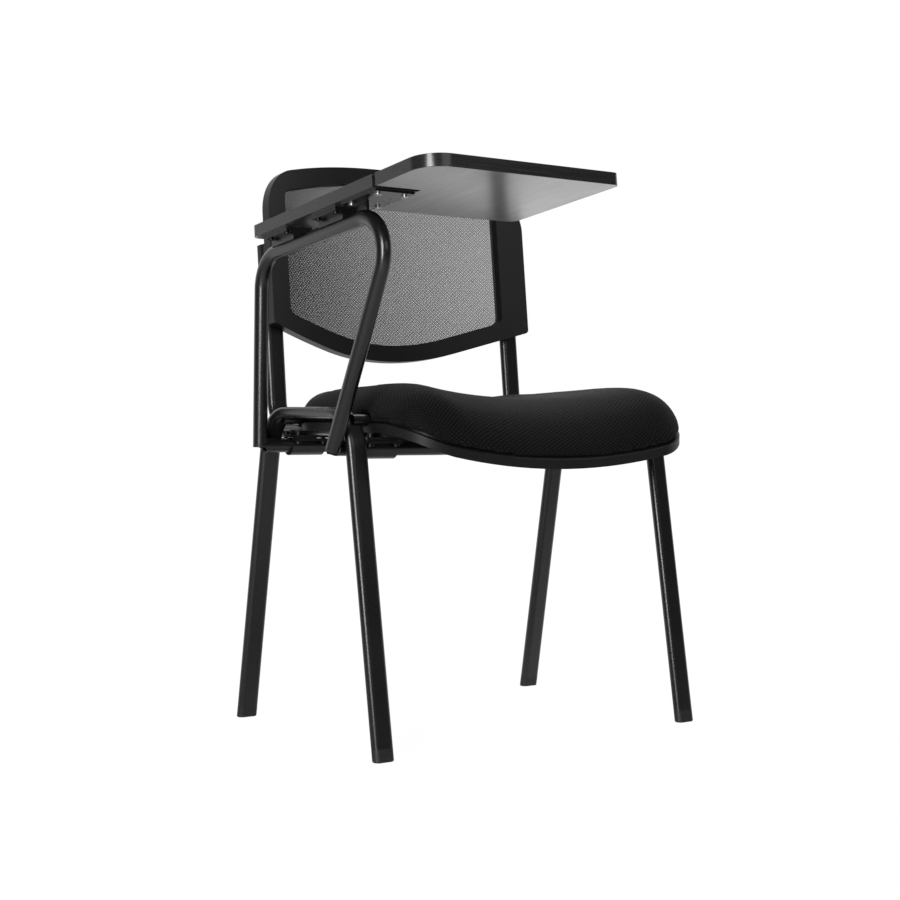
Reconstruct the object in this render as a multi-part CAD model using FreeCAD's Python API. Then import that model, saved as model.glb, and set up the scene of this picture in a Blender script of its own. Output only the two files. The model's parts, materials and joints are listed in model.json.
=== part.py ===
import FreeCAD, Part
import math
import os

from FreeCAD import Vector

# Tablet arm chair. Millimetres, +Z up, the sitter faces -Y, the tablet arm is on -X.
# Shapes are drawn about the floor point midway between the four feet. At the end the
# whole chair is moved so that its box's bottom centre is the origin.

# Steel flat-oval tube of the legs, cross tubes and uprights
oval_width = 30.0
oval_depth = 15.0
oval_wall = 1.5

# Leg frames
leg_frame_width = 545.0
foot_spread = 371.0
rail_top = 450.0
front_leg_lean = 10.2
rear_leg_lean = 9.7
leg_bend_radius = 55.0
foot_height = 16.0
foot_stem = 22.0
foot_stem_clearance = 0.1
foot_edge = 2.0

# Cross tubes under the seat
front_cross_y = -95.0
rear_cross_y = 90.0
cross_below_rail_top = 9.0

# L-shaped back uprights
upright_spacing = 428.0
upright_front_y = -131.0
upright_back_y = 174.2
upright_bend_radius = 45.0
upright_in_socket = 115.0
plug_flange = 3.0
plug_depth = 15.0
plug_clearance = 0.1

# Back: two plastic rings that clamp a mesh, bowed to the rear between the uprights
back_width = 461.0
back_height = 824.6
back_corner_height = 569.0
back_bottom_dip = 60.5
back_lean = 7.0
back_curve = 44.0
back_top_crown = 60.0
back_top_radius = 72.0
arch_share = 0.72
dip_share = 0.5
back_bottom_radius = 6.0
back_border = 38.0
back_border_top = 29.0
back_border_bottom = 28.0
window_radius = 12.0
front_ring_depth = 12.5
rear_ring_depth = 4.5
back_ahead = 7.5
mesh_thickness = 1.2
mesh_lap = 9.0
mesh_clearance = 0.05
socket_wall = 3.0
socket_clearance = 0.1
socket_start = 8.0
socket_run_out = 32.0
ring_screw_length = 13.0
ring_screw_spread = 300.0

# Seat
seat_width = 474.0
seat_rear_y = 160.0
seat_front_y = -228.0
seat_rear_radius = 125.0
seat_front_radius = 60.0
rim_height = 12.0
rim_drop = 24.0
rim_wall = 5.0
pan_wall = 3.0
pan_step = 10.0
side_droop_start = -130.0
side_droop = 13.5
nose_droop_start = -120.0
nose_droop = 47.0
board_thickness = 9.0
board_step = 22.0
cushion_clearance = 0.4
cushion_hem = 1.5
cushion_side_rise = 14.0
cushion_draw = 2.0
cushion_dish_rise = 10.0
cushion_crest_rise = 26.0
cushion_dish_fall = 3.0
cushion_crest_fall = 10.0
cushion_fall_start = -95.0
cushion_crest_share = 0.74
cushion_flank_share = 0.3
cushion_front_round = 46.0
cushion_rear_round = 40.0
cushion_steps = (0.008, 0.04, 0.14, 0.34, 0.65, 1.0, 1.6)
cushion_middle_spans = 4
seat_overlap = 12.0
nose_sections = 6
notch_clearance = 1.5

# Seat bolts
bolt_diameter = 6.0
bolt_head_diameter = 12.0
bolt_head_height = 4.0
seat_bolt_spacing = 300.0
t_nut_diameter = 9.0
t_nut_flange_diameter = 18.0
t_nut_flange = 1.5

# Round tube of the tablet arm
round_diameter = 20.0
round_wall = 1.5
arm_x = -285.0
arm_foot_z = 396.0
arm_rear_y = 97.5
arm_rear_top_y = 95.2
arm_front_y = -102.0
arm_front_top_y = -257.1
arm_bar_height = 667.8
arm_slope = 6.66
arm_rear_radius = 50.0
arm_front_radius = 48.0
arm_plug_flange = 2.5
base_z = 396.0
base_inner_x = -60.0
base_set_back = 8.5
base_bend_radius = 60.0

# Clamps that hold the base tube under the right L-tube
clamp_length = 52.0
clamp_width = 54.0
clamp_plate = 4.0
clamp_bolt_x = 20.0
clamp_bolt_y = 18.0
nut_diameter = 10.0
nut_height = 5.0
strap_gap = 0.6

# Boards of the tablet
board_panel = 16.0
edge_band = 1.0
tablet_outer_x = -315.0
armrest_width = 65.0
armrest_rear = 68.0
armrest_front = -245.0
armrest_radius = 12.0
panel_width = 292.0
panel_front = -365.0
panel_rear = -141.0
panel_outer_radius = 36.0
panel_inner_radius = 10.0
seam_clearance = 0.4
front_gap = 7.0
bar_to_board = 10.3

# Saddles between the arm bar and the armrest board
saddle_length = 60.0
saddle_width = 40.0
saddle_flange = 5.0
saddle_screw_spread = 44.0
saddle_front_s = -110.0
saddle_rear_s = 18.0
saddle_screw_diameter = 4.0
saddle_screw_head = 8.0
saddle_screw_head_height = 2.5
saddle_screw_bite = 11.0

# Rest plate under the armrest board's front end
rest_plate_length = 80.0
rest_plate_width = 57.0
rest_plate_thickness = 3.0
rest_plate_inset = 7.0
rest_web = 4.0
rest_web_length = 24.0
rest_screw_inset = 9.0

# Hinges of the writing panel
hinge_length = 34.0
hinge_leaf = 22.0
hinge_leaf_thickness = 1.6
hinge_knuckle = 7.0
hinge_pin = 3.2
hinge_pin_clearance = 0.05
hinge_axis_rise = 0.6
hinge_spacing = 52.0
hinge_side_clearance = 0.25
hinge_screw_diameter = 3.0
hinge_screw_head = 6.0
hinge_screw_bite = 11.0
hinge_screw_spread = 20.0
hinge_screw_reach = 13.6

leg_x = (leg_frame_width - oval_width) / 2
rail_z = rail_top - oval_depth / 2
cross_z = rail_z - cross_below_rail_top
upright_z = cross_z - oval_depth
upright_x = upright_spacing / 2
seat_half = seat_width / 2
pan_floor = cross_z + oval_depth / 2
rim_bottom = pan_floor - rim_drop
board_bottom = pan_floor + pan_wall
board_top = board_bottom + board_thickness
base_front_y = arm_front_y + base_set_back
X_AXIS = Vector(1, 0, 0)
Y_AXIS = Vector(0, 1, 0)
Z_AXIS = Vector(0, 0, 1)

pieces = {}


def rounded_path(points, radius):
    """Straight runs through the points, joined by tangent arcs at the inner ones."""
    edges = []
    start = points[0]
    for before, corner, after in zip(points, points[1:], points[2:]):
        back = (before - corner).normalize()
        ahead = (after - corner).normalize()
        half = back.getAngle(ahead) / 2
        reach = radius / math.tan(half)
        middle = (back + ahead).normalize()
        first = corner + back * reach
        last = corner + ahead * reach
        crest = corner + middle * (radius / math.sin(half) - radius)
        edges.append(Part.LineSegment(start, first).toShape())
        edges.append(Part.Arc(first, crest, last).toShape())
        start = last
    edges.append(Part.LineSegment(start, points[-1]).toShape())
    return Part.Wire(edges)


def oval_wire(centre, wide, deep, width, depth):
    """A flat oval: two straight sides and two half-round ends, each of two arcs."""
    side = wide * (width - depth) / 2
    edge = deep * depth / 2
    tip = wide * width / 2
    slant = depth / 2 * math.sqrt(0.5)
    edges = []
    for sign in (1, -1):
        near = centre + (side + edge) * sign
        far = centre + (side - edge) * sign
        end = centre + tip * sign
        upper = centre + (side + wide * slant + deep * slant) * sign
        lower = centre + (side + wide * slant - deep * slant) * sign
        edges.append(Part.Arc(near, upper, end).toShape())
        edges.append(Part.Arc(end, lower, far).toShape())
        edges.append(Part.LineSegment(far, centre - (side + edge) * sign).toShape())
    return Part.Wire(edges)


def swept(path, profile):
    return path.makePipeShell([profile], True, False)


def oval_bar(path, wide, deep, width=oval_width, depth=oval_depth):
    start = path.OrderedVertexes[0].Point
    return swept(path, oval_wire(start, wide, deep, width, depth))


def oval_tube(path, wide, deep):
    inner = oval_bar(path, wide, deep, oval_width - 2 * oval_wall, oval_depth - 2 * oval_wall)
    return oval_bar(path, wide, deep).cut(inner)


def round_bar(path, diameter):
    start = path.OrderedVertexes[0].Point
    along = path.OrderedEdges[0].tangentAt(path.OrderedEdges[0].FirstParameter)
    return swept(path, Part.Wire(Part.makeCircle(diameter / 2, start, along)))


def rod(start, along, length, diameter):
    return Part.makeCylinder(diameter / 2, length, start, along)


def box(x0, x1, y0, y1, z0, z1):
    return Part.makeBox(x1 - x0, y1 - y0, z1 - z0, Vector(x0, y0, z0))


def rounded_outline(corners, z=0.0):
    """A closed outline in a level plane. Each corner is (x, y, radius)."""
    edges = []
    count = len(corners)
    ends = []
    for index, (x, y, radius) in enumerate(corners):
        corner = Vector(x, y, z)
        before = Vector(*corners[index - 1][:2], z)
        after = Vector(*corners[(index + 1) % count][:2], z)
        if radius == 0:
            ends.append((corner, corner, None))
            continue
        back = (before - corner).normalize()
        ahead = (after - corner).normalize()
        half = back.getAngle(ahead) / 2
        reach = radius / math.tan(half)
        crest = corner + (back + ahead).normalize() * (radius / math.sin(half) - radius)
        ends.append((corner + back * reach, corner + ahead * reach, crest))
    for index in range(count):
        first, last, crest = ends[index]
        if crest is not None:
            edges.append(Part.Arc(first, crest, last).toShape())
        following = ends[(index + 1) % count][0]
        edges.append(Part.LineSegment(last, following).toShape())
    return Part.Wire(edges)


def prism(outline, height):
    return Part.Face(outline).extrude(Vector(0, 0, height))


def inset_outline(outline, inset):
    return outline.makeOffset2D(-inset) if inset else outline


def leg_path(x):
    """Centre line of one leg frame, from the front foot over the rail to the rear foot."""
    front_top = rail_z * math.tan(math.radians(front_leg_lean))
    rear_top = rail_z * math.tan(math.radians(rear_leg_lean))
    half = foot_spread / 2
    lift = foot_height
    points = [
        Vector(x, -half + lift * math.tan(math.radians(front_leg_lean)), lift),
        Vector(x, -half + front_top, rail_z),
        Vector(x, half - rear_top, rail_z),
        Vector(x, half - lift * math.tan(math.radians(rear_leg_lean)), lift),
    ]
    return rounded_path(points, leg_bend_radius)


def leg_deep(path):
    along = path.OrderedEdges[0].tangentAt(path.OrderedEdges[0].FirstParameter)
    return along.cross(X_AXIS).normalize()


def foot_cap(x, y_sign, lean):
    """A plug in the tube's end, flush with the tube outside and cut level at the floor."""
    tilt = math.radians(lean)
    rise = Vector(0, -y_sign * math.sin(tilt), math.cos(tilt))
    deep = rise.cross(X_AXIS).normalize()
    foot = Vector(x, y_sign * foot_spread / 2, 0)
    end = foot + rise * (foot_height / math.cos(tilt))
    block_path = Part.Wire([Part.LineSegment(foot - rise * foot_height, end).toShape()])
    stem_path = Part.Wire([Part.LineSegment(end, end + rise * foot_stem).toShape()])
    bore_gap = 2 * (oval_wall + foot_stem_clearance)
    block = oval_bar(block_path, X_AXIS, deep)
    reach = 2 * foot_height
    floor = box(x - reach, x + reach, foot.y - reach, foot.y + reach, -2 * reach, 0)
    block = block.cut(floor)
    sole = [e for e in block.Edges if e.BoundBox.ZMax < foot_edge / 2]
    block = block.makeFillet(foot_edge, sole)
    stem = oval_bar(stem_path, X_AXIS, deep, oval_width - bore_gap, oval_depth - bore_gap)
    return block.fuse(stem).removeSplitter()


def make_legs():
    solid_legs = {}
    for side, x in (("right", -leg_x), ("left", leg_x)):
        path = leg_path(x)
        deep = leg_deep(path)
        solid_legs[side] = oval_bar(path, X_AXIS, deep)
        pieces["leg_frame_" + side] = oval_tube(path, X_AXIS, deep)
        pieces["foot_cap_front_" + side] = foot_cap(x, -1, front_leg_lean)
        pieces["foot_cap_rear_" + side] = foot_cap(x, 1, rear_leg_lean)
    return solid_legs


def cross_path(y):
    return Part.Wire([Part.LineSegment(Vector(-leg_x, y, cross_z), Vector(leg_x, y, cross_z)).toShape()])


def seat_bolt_places():
    return [(sign * seat_bolt_spacing / 2, y) for y in (front_cross_y, rear_cross_y) for sign in (-1, 1)]


def make_cross_tubes(solid_legs):
    for name, y in (("front_cross_tube", front_cross_y), ("rear_cross_tube", rear_cross_y)):
        tube = oval_tube(cross_path(y), Y_AXIS, Z_AXIS)
        for leg in solid_legs.values():
            tube = tube.cut(leg)
        for bolt_x, bolt_y in seat_bolt_places():
            tube = tube.cut(rod(Vector(bolt_x, bolt_y, 0), Z_AXIS, rail_top, bolt_diameter))
        pieces[name] = tube


def back_rise():
    return Vector(0, math.sin(math.radians(back_lean)), math.cos(math.radians(back_lean)))


def upright_line(z):
    """The leaning part of an upright, as y at a height."""
    return upright_back_y + (z - upright_z) * math.tan(math.radians(back_lean))


upright_top = back_corner_height + upright_in_socket


def upright_path(x):
    points = [
        Vector(x, upright_front_y, upright_z),
        Vector(x, upright_back_y, upright_z),
        Vector(x, upright_line(upright_top), upright_top),
    ]
    return rounded_path(points, upright_bend_radius)


def make_uprights():
    for side, x in (("right", -upright_x), ("left", upright_x)):
        pieces["back_upright_" + side] = oval_tube(upright_path(x), X_AXIS, Z_AXIS)
        bore_gap = 2 * (oval_wall + plug_clearance)
        face = Vector(x, upright_front_y, upright_z)
        stem = Part.Wire([Part.LineSegment(face, face + Y_AXIS * plug_depth).toShape()])
        head = Part.Wire([Part.LineSegment(face - Y_AXIS * plug_flange, face).toShape()])
        plug = oval_bar(stem, X_AXIS, Z_AXIS, oval_width - bore_gap, oval_depth - bore_gap)
        pieces["upright_plug_" + side] = plug.fuse(oval_bar(head, X_AXIS, Z_AXIS)).removeSplitter()


def back_place(shape):
    """Stands a back piece up. Drawn level, its outline's y becomes height and its z depth."""
    shape = shape.copy()
    shape.rotate(Vector(0, 0, 0), X_AXIS, 90 - back_lean)
    shape.translate(Vector(0, upright_line(back_corner_height), back_corner_height))
    return shape


back_rise_length = (back_height - back_corner_height) / math.cos(math.radians(back_lean))
back_curve_radius = (upright_x ** 2 + back_curve ** 2) / (2 * back_curve)
back_axis = Vector(0, -back_height, back_curve_radius - back_curve)
arch_slope = 2 * back_top_crown / back_width
dip_slope = 2 * back_bottom_dip / back_width


def bow_radius(half, slope, share):
    """Radius of the arc that rounds over a share of two slopes meeting in the middle."""
    return share * half * math.hypot(1, slope) / slope


arch_top = back_rise_length + bow_radius(back_width / 2, arch_slope, arch_share) * (math.hypot(1, arch_slope) - 1)


def back_block(inset, top_inset, bottom_inset, top_radius, bottom_radius):
    """The back's outline, drawn in by margins and run through its whole depth. Arched top, dipped bottom."""
    half = back_width / 2 - inset
    top = arch_top - top_inset
    low = bottom_inset - back_bottom_dip
    outline = rounded_outline([
        (-half, low + half * dip_slope, bottom_radius),
        (0, low, bow_radius(half, dip_slope, dip_share)),
        (half, low + half * dip_slope, bottom_radius),
        (half, top - half * arch_slope, top_radius),
        (0, top, bow_radius(half, arch_slope, arch_share)),
        (-half, top - half * arch_slope, top_radius),
    ], -2 * back_curve)
    return prism(outline, 4 * back_curve)


def back_drum(deep):
    """All that lies ahead of a depth of the bowed back."""
    return Part.makeCylinder(back_curve_radius + deep, 3 * back_height, back_axis, Y_AXIS)


def back_layer(block, deep0, deep1):
    """The part of a block between two depths, which grow to the rear."""
    return block.common(back_drum(deep1)).cut(back_drum(deep0))


def socket_axis(x):
    bottom = Vector(x, upright_line(back_corner_height + socket_start), back_corner_height + socket_start)
    top = Vector(x, upright_line(upright_top), upright_top)
    return bottom, top


def socket_bore(x):
    bottom, top = socket_axis(x)
    below = bottom - back_rise() * socket_run_out
    deep = back_rise().cross(X_AXIS).normalize()
    gap = 2 * socket_clearance
    line = Part.Wire([Part.LineSegment(below, top).toShape()])
    return oval_bar(line, X_AXIS, deep, oval_width + gap, oval_depth + gap)


def socket_boss(x):
    """The thick wall round an upright's end, joined to the back of the rear ring."""
    bottom, top = socket_axis(x)
    end = top + back_rise() * socket_wall
    deep = back_rise().cross(X_AXIS).normalize()
    grow = 2 * (socket_clearance + socket_wall)
    line = Part.Wire([Part.LineSegment(bottom, end).toShape()])
    sleeve = oval_bar(line, X_AXIS, deep, oval_width + grow, oval_depth + grow)
    half = oval_width / 2
    root = box(x - half, x + half, socket_start, (end - bottom).Length + socket_start, 0, back_curve)
    return sleeve.fuse(back_place(root)).removeSplitter()


def ring_screw(x, height, deep, length, turn=0):
    """A screw driven forward from a depth, its head let in flush, turned about the axis of the back's bow."""
    shank = rod(Vector(x, height, -deep), Z_AXIS, length, saddle_screw_diameter)
    head = rod(Vector(x, height, -deep), Z_AXIS, saddle_screw_head_height, saddle_screw_head)
    screw = shank.fuse(head).removeSplitter()
    screw.rotate(back_axis, Y_AXIS, turn)
    return back_place(screw)


def window_block(grow):
    """The back's window, grown by a margin all round."""
    insets = [border - grow for border in (back_border, back_border_top, back_border_bottom)]
    return back_block(*insets, window_radius, window_radius)


def make_back():
    ring_back = -back_ahead
    parting = ring_back - rear_ring_depth
    ring_front = parting - front_ring_depth
    mesh_front = parting - mesh_thickness
    outer = back_block(0, 0, 0, back_top_radius, back_bottom_radius)
    ring = outer.cut(window_block(0))
    pocket = back_layer(window_block(mesh_lap + mesh_clearance), mesh_front, ring_back)
    front = back_place(back_layer(ring, ring_front, parting).cut(pocket))
    rear = back_place(back_layer(ring, parting, ring_back))
    behind_parting = back_place(outer.cut(back_drum(parting)))
    boss_back = oval_depth / 2 + socket_clearance + socket_wall
    half_spread = ring_screw_spread / 2
    high_height = arch_top - half_spread * arch_slope - (back_border_top - mesh_lap) / 2
    low_height = half_spread * dip_slope - back_bottom_dip + (back_border_bottom - mesh_lap) / 2
    turn = math.degrees(math.asin(half_spread / back_curve_radius))
    screws = []
    for height in (high_height, low_height):
        for angle in (-turn, turn):
            screws.append(ring_screw(0, height, ring_back + back_curve, ring_screw_length, angle))
    pins = []
    for x in (-upright_x, upright_x):
        rear = rear.fuse(socket_boss(x).common(behind_parting)).cut(socket_bore(x)).removeSplitter()
        reach = boss_back - oval_depth / 2 + 2 * oval_wall
        pins.append(ring_screw(x, upright_in_socket / 2, boss_back, reach))
    for screw in screws:
        front = front.cut(screw)
        rear = rear.cut(screw)
    for pin, side in zip(pins, ("right", "left")):
        rear = rear.cut(pin)
        pieces["back_upright_" + side] = pieces["back_upright_" + side].cut(pin)
    pieces["back_frame_front"] = front
    pieces["back_frame_rear"] = rear
    pieces["back_mesh"] = back_place(back_layer(window_block(mesh_lap), mesh_front, parting))
    pieces["back_frame_screws"] = Part.makeCompound(screws)
    pieces["back_upright_screws"] = Part.makeCompound(pins)


def seat_outline(inset):
    half = seat_half - inset
    rear = seat_rear_y - inset
    front = seat_front_y + inset
    rear_radius = seat_rear_radius - inset
    front_radius = seat_front_radius - inset
    return rounded_outline([
        (-half, front, front_radius),
        (half, front, front_radius),
        (half, rear, rear_radius),
        (-half, rear, rear_radius),
    ])


def droop(y, start, amount):
    """How far the seat has curved down at y, on a parabola that ends at the front edge."""
    share = max(0.0, (start - y) / (start - seat_front_y))
    return amount * share ** 2


def seat_level(x, y):
    """Lower edge of the rim: level at the back, curved down to the front, lowest in the middle."""
    share = min(1.0, abs(x) / seat_half)
    side = droop(y, side_droop_start, side_droop)
    nose = droop(y, nose_droop_start, nose_droop)
    return rim_bottom - nose - (side - nose) * share ** 2


def seat_section(y, low, high):
    """A slice of a seat layer between two heights over the rim's lower edge."""
    half = seat_half + seat_overlap
    rims = []
    for offset in (low, high):
        edge_z = seat_level(half, y) + offset
        middle = Vector(0, y, seat_level(0, y) + offset)
        rims.append((Vector(-half, y, edge_z), middle, Vector(half, y, edge_z)))
    below, above = rims
    return Part.Wire([
        bowed(*below),
        Part.LineSegment(below[2], above[2]).toShape(),
        bowed(*reversed(above)),
        Part.LineSegment(above[0], below[0]).toShape(),
    ])


def bowed(start, middle, end):
    """An arc through three points, or a line where they are level."""
    if abs(middle.z - start.z) < 1e-6:
        return Part.LineSegment(start, end).toShape()
    return Part.Arc(start, middle, end).toShape()


def seat_layer(inset, low, high):
    """The part of the seat's plan that lies between two heights over the rim's lower edge."""
    front = seat_front_y - seat_overlap
    rear = seat_rear_y + seat_overlap
    stations = [nose_droop_start + (front - nose_droop_start) * i / nose_sections for i in range(nose_sections + 1)]
    level = Part.makeLoft([seat_section(y, low, high) for y in (rear, nose_droop_start)], True, True)
    nose = Part.makeLoft([seat_section(y, low, high) for y in stations], True, False)
    plan = seat_outline(inset)
    plan.translate(Vector(0, 0, rim_bottom - 2 * nose_droop))
    return level.fuse(nose).common(prism(plan, 4 * nose_droop))


def seat_half_width(y):
    """Half the seat's width at y, from its rounded plan."""
    rear_from = seat_rear_y - seat_rear_radius
    front_from = seat_front_y + seat_front_radius
    if y > rear_from:
        return seat_half - seat_rear_radius + math.sqrt(max(0.0, seat_rear_radius ** 2 - (y - rear_from) ** 2))
    if y < front_from:
        return seat_half - seat_front_radius + math.sqrt(max(0.0, seat_front_radius ** 2 - (y - front_from) ** 2))
    return seat_half


def round_off(distance, length):
    """Share of full height at a distance from an end that is rounded over a length."""
    share = min(1.0, max(0.0, distance / length))
    return math.sqrt(1 - (1 - share) ** 2)


def cushion_section(y):
    """One cross-section: drawn-in sides, raised crests and a dished middle."""
    half = seat_half_width(y)
    base = rim_height + cushion_clearance
    ends = round_off(y - seat_front_y, cushion_front_round) * round_off(seat_rear_y - y, cushion_rear_round)
    body = board_top - rim_bottom - base
    fall = max(0.0, (y - cushion_fall_start) / (seat_rear_y - cushion_rear_round - cushion_fall_start))
    crest_rise = cushion_crest_rise - cushion_crest_fall * fall
    dish_rise = cushion_dish_rise - cushion_dish_fall * fall
    crest_x = half * cushion_crest_share
    flank_x = half - (half - crest_x) * cushion_flank_share
    under_z = seat_level(half, y) + base
    side_z = under_z + cushion_hem + cushion_side_rise * ends
    crest_z = seat_level(crest_x, y) + base + cushion_hem + (body + crest_rise) * ends
    flank_z = side_z + (crest_z - side_z) * (1 - cushion_flank_share)
    middle_z = seat_level(0, y) + base + cushion_hem + (body + dish_rise) * ends
    drawn_x = half - cushion_draw * ends
    under = Vector(drawn_x, y, under_z)
    bulge = Vector(half, y, (under_z + side_z) / 2)
    side = Vector(drawn_x, y, side_z)
    flank = Vector(flank_x, y, flank_z)
    crest = Vector(crest_x, y, crest_z)
    right = [under, bulge, side, flank, crest]
    left = [Vector(-p.x, p.y, p.z) for p in right]
    return Part.Wire([
        bowed(left[0], Vector(0, y, seat_level(0, y) + base), right[0]),
        Part.Arc(right[0], right[1], right[2]).toShape(),
        Part.Arc(right[2], right[3], right[4]).toShape(),
        Part.Arc(right[4], Vector(0, y, middle_z), left[4]).toShape(),
        Part.Arc(left[4], left[3], left[2]).toShape(),
        Part.Arc(left[2], left[1], left[0]).toShape(),
    ])


def cushion_stations():
    """Fore-aft places of the sections, close together where the two ends are rounded."""
    rear = [seat_rear_y - cushion_rear_round * step for step in cushion_steps]
    front = [seat_front_y + cushion_front_round * step for step in reversed(cushion_steps)]
    span = rear[-1] - front[0]
    middle = [rear[-1] - span * k / cushion_middle_spans for k in range(1, cushion_middle_spans)]
    return rear + middle + front


def make_seat():
    floor = pan_floor - rim_bottom
    pan = seat_layer(0, 0, rim_height).fuse(seat_layer(pan_step, rim_height - pan_wall, floor + pan_wall))
    pan = pan.cut(seat_layer(rim_wall, -rim_height, rim_height - pan_wall))
    pan = pan.cut(seat_layer(pan_step + pan_wall, -rim_height, floor))
    pan_top = floor + pan_wall
    board = seat_layer(board_step, pan_top, pan_top + board_thickness)
    cushion = Part.makeLoft([cushion_section(y) for y in cushion_stations()], True, False)
    pocket_top = pan_top + board_thickness + cushion_clearance
    cushion = cushion.cut(seat_layer(pan_step - cushion_clearance, 0, pan_top + cushion_clearance))
    cushion = cushion.cut(seat_layer(board_step - cushion_clearance, 0, pocket_top))
    for y in (front_cross_y, rear_cross_y):
        grow = 2 * notch_clearance
        passage = oval_bar(cross_path(y), Y_AXIS, Z_AXIS, oval_width + grow, oval_depth + grow)
        flush = box(-leg_x, leg_x, y - oval_width, y + oval_width, pan_floor, pan_floor + grow)
        cushion = cushion.cut(passage)
        pan = pan.cut(passage.cut(flush))
    for x in (-upright_x, upright_x):
        grow = 2 * notch_clearance
        start = Vector(x, 0, upright_z)
        run = Part.Wire([Part.LineSegment(start, start + Y_AXIS * seat_rear_y).toShape()])
        pan = pan.cut(oval_bar(run, X_AXIS, Z_AXIS, oval_width + grow, oval_depth + grow))
    bolts = []
    nuts = []
    for x, y in seat_bolt_places():
        under = cross_z - oval_depth / 2
        shank = rod(Vector(x, y, under), Z_AXIS, board_top - under - t_nut_flange, bolt_diameter)
        head = rod(Vector(x, y, under - bolt_head_height), Z_AXIS, bolt_head_height, bolt_head_diameter)
        bolt = shank.fuse(head).removeSplitter()
        barrel = rod(Vector(x, y, board_bottom), Z_AXIS, board_thickness, t_nut_diameter)
        flange = rod(Vector(x, y, board_top - t_nut_flange), Z_AXIS, t_nut_flange, t_nut_flange_diameter)
        nut = barrel.fuse(flange).cut(bolt)
        pan = pan.cut(bolt)
        board = board.cut(barrel.fuse(flange)).cut(bolt)
        bolts.append(bolt)
        nuts.append(nut)
    pieces["seat_pan"] = pan
    pieces["seat_board"] = board
    pieces["seat_cushion"] = cushion
    pieces["seat_bolts"] = Part.makeCompound(bolts)
    pieces["seat_t_nuts"] = Part.makeCompound(nuts)


def bar_z(y):
    """Height of the arm's sloped top bar at y."""
    return arm_bar_height - y * math.tan(math.radians(arm_slope))


def arm_path():
    """Centre line of the arm, from the rear foot over the bar to the front foot."""
    rear_corner = Vector(arm_x, arm_rear_top_y, bar_z(arm_rear_top_y))
    front_corner = Vector(arm_x, arm_front_top_y, bar_z(arm_front_top_y))
    rear_foot = Vector(arm_x, arm_rear_y, arm_foot_z)
    front_foot = Vector(arm_x, arm_front_y, arm_foot_z)
    middle = (rear_corner + front_corner) / 2
    rear_part = rounded_path([rear_foot, rear_corner, middle], arm_rear_radius)
    front_part = rounded_path([middle, front_corner, front_foot], arm_front_radius)
    first = rear_part.OrderedEdges
    last = front_part.OrderedEdges
    joined = Part.LineSegment(first[-1].Vertexes[0].Point, last[0].Vertexes[-1].Point).toShape()
    return Part.Wire(first[:-1] + [joined] + last[1:])


def make_arm():
    path = arm_path()
    solid = round_bar(path, round_diameter)
    bore = round_bar(path, round_diameter - 2 * round_wall)
    base_path = rounded_path([
        Vector(arm_x, arm_rear_y, base_z),
        Vector(base_inner_x, arm_rear_y, base_z),
        Vector(base_inner_x, base_front_y, base_z),
        Vector(arm_x, base_front_y, base_z),
    ], base_bend_radius)
    base = round_bar(base_path, round_diameter).cut(round_bar(base_path, round_diameter - 2 * round_wall))
    pieces["arm_tube"] = solid.cut(bore)
    plugs = []
    edges = path.OrderedEdges
    for edge in (edges[0], edges[-1]):
        foot = min((v.Point for v in edge.Vertexes), key=lambda p: p.z)
        top = max((v.Point for v in edge.Vertexes), key=lambda p: p.z)
        rise = (top - foot).normalize()
        stem_diameter = round_diameter - 2 * round_wall - 2 * plug_clearance
        stem = rod(foot, rise, plug_depth, stem_diameter)
        flange = rod(foot - rise * arm_plug_flange, rise, arm_plug_flange, round_diameter)
        plugs.append(stem.fuse(flange).removeSplitter())
        base = base.cut(rod(foot - rise * 2 * round_diameter, rise, 4 * round_diameter, round_diameter))
    pieces["arm_base_tube"] = max(base.Solids, key=lambda s: s.Volume)
    pieces["arm_plugs"] = Part.makeCompound(plugs)


def make_base_clamps():
    plate_top = upright_z - oval_depth / 2
    plate_low = plate_top - clamp_plate
    flange_top = plate_low - strap_gap
    bolts = []
    nuts = []
    for name, y in (("front", base_front_y), ("rear", arm_rear_y)):
        x = -upright_x
        half_x = clamp_length / 2
        half_y = clamp_width / 2
        plate = box(x - half_x, x + half_x, y - half_y, y + half_y, plate_low, plate_top)
        ear = box(x - half_x, x + half_x, y - half_y, y + half_y, flange_top - clamp_plate, flange_top)
        wrap = rod(Vector(x - half_x, y, base_z), X_AXIS, clamp_length, round_diameter + 2 * clamp_plate)
        cap = box(x - half_x, x + half_x, y - half_y, y + half_y, flange_top, plate_top + clamp_length)
        cradle = rod(Vector(x - half_x, y, base_z), X_AXIS, clamp_length, round_diameter)
        mouth = box(x - half_x, x + half_x, y - round_diameter / 2, y + round_diameter / 2, base_z, plate_top)
        strap = ear.fuse(wrap).cut(cap).cut(cradle).cut(mouth).removeSplitter()
        for sign_x in (-1, 1):
            for sign_y in (-1, 1):
                foot = Vector(x + sign_x * clamp_bolt_x, y + sign_y * clamp_bolt_y, flange_top - clamp_plate)
                grip = plate_top - foot.z
                shank = rod(foot, Z_AXIS, grip + nut_height, bolt_diameter)
                head = rod(foot - Z_AXIS * bolt_head_height, Z_AXIS, bolt_head_height, nut_diameter)
                bolt = shank.fuse(head).removeSplitter()
                nut = rod(Vector(foot.x, foot.y, plate_top), Z_AXIS, nut_height, nut_diameter).cut(bolt)
                bolts.append(bolt)
                nuts.append(nut)
                plate = plate.cut(bolt)
                strap = strap.cut(bolt)
        pieces["base_clamp_plate_" + name] = plate
        pieces["base_clamp_strap_" + name] = strap
    pieces["base_clamp_bolts"] = Part.makeCompound(bolts)
    pieces["base_clamp_nuts"] = Part.makeCompound(nuts)


tablet_rise = round_diameter / 2 + bar_to_board + board_panel


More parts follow.
